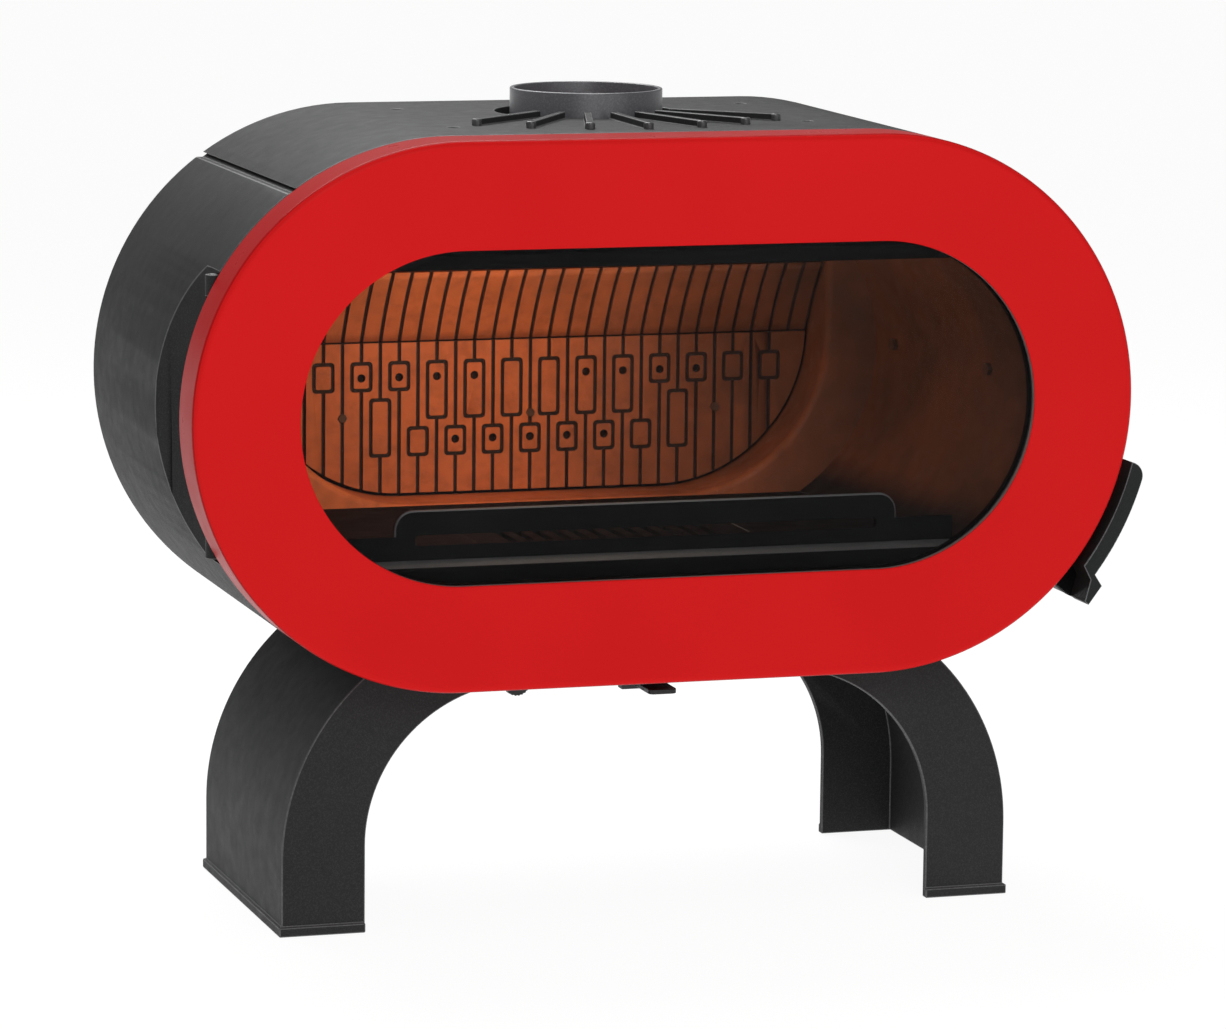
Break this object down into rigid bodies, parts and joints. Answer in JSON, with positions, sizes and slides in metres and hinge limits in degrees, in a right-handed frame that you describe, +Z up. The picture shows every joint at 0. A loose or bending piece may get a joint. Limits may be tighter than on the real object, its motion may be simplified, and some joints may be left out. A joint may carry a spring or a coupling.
{
  "type": "wood stove",
  "caption": "Wide stadium-shaped cast-iron room stove on two arched legs, with a hinged glass-fronted door ring, latch handle, air slide, air knob and top flue collar",
  "frame": {"origin": "on the floor, under the middle of the body in width and depth", "axes": "+X to the right as seen from the front, +Y to the back (the door faces -Y), +Z up"},
  "size_m": [1.0163, 0.534, 0.842],
  "materials": {
    "body_iron": "matte heat-resistant paint on cast iron",
    "red_enamel": "glossy enamel on cast iron",
    "stove_glass": "clear ceramic glass",
    "gasket_fibre": "woven glass-fibre rope",
    "fire_iron": "raw cast iron, heat-browned",
    "sheet_steel": "black painted sheet steel",
    "black_steel": "blackened steel",
    "black_satin": "satin black paint on cast iron",
    "bare_steel": "plain machined steel",
    "fire_steel": "heat-browned steel"
  },
  "bodies": {
    "stove_body": {"top_shell": "body_iron", "left_side_shell": "body_iron", "right_side_shell": "body_iron", "bottom_shell": "body_iron", "flue_collar": "body_iron", "left_leg": "body_iron", "right_leg": "body_iron", "latch_keeper": "body_iron", "front_frame": "fire_iron", "firebox_liner": "fire_iron", "rear_casting": "fire_iron", "fireback_lower": "fire_iron", "fireback_upper": "fire_iron", "baffle_plate": "fire_iron", "air_wash_bar": "fire_iron", "hearth_plate": "fire_iron", "fire_grate": "fire_iron", "hearth_lip": "fire_iron", "log_guard": "fire_iron", "flue_throat": "fire_iron", "ash_pan": "sheet_steel", "air_box": "sheet_steel", "lever_guide": "sheet_steel", "hinge_pins": "bare_steel", "tie_rods": "bare_steel", "rod_nuts": "bare_steel", "leg_bolts": "bare_steel", "collar_bolts": "black_steel", "cover_plugs": "black_steel", "fireback_screws": "fire_steel", "liner_bolts": "fire_steel"},
    "door": {"door_facade": "red_enamel", "window_glass": "stove_glass", "glass_gaskets": "gasket_fibre", "door_frame": "fire_iron", "door_screws": "bare_steel", "door_rope_seal": "gasket_fibre"},
    "handle": {"door_handle": "black_satin", "latch_shaft": "bare_steel", "latch_tongue": "bare_steel"},
    "air_slide": {"air_lever": "black_steel"},
    "air_valve": {"air_knob": "black_steel", "valve_shaft": "bare_steel"}
  },
  "joints": [
    {"name": "door_hinge", "type": "hinge", "parent": "stove_body", "child": "door", "pos_m": [-0.461, -0.187, 0.537], "axis": [0, 0, -1], "range_deg": [0, 100]},
    {"name": "handle_pivot", "type": "hinge", "parent": "door", "child": "handle", "pos_m": [0.46174, -0.212, 0.33684], "axis": [0, 1, 0], "range_deg": [0, 35]},
    {"name": "air_lever_slide", "type": "slide", "parent": "stove_body", "child": "air_slide", "axis": [0, -1, 0], "range_m": [0, 0.04]},
    {"name": "air_knob_turn", "type": "hinge", "parent": "stove_body", "child": "air_valve", "pos_m": [-0.128, -0.102, 0.2415], "axis": [0, 1, 0], "range_deg": [0, 90]}
  ]
}
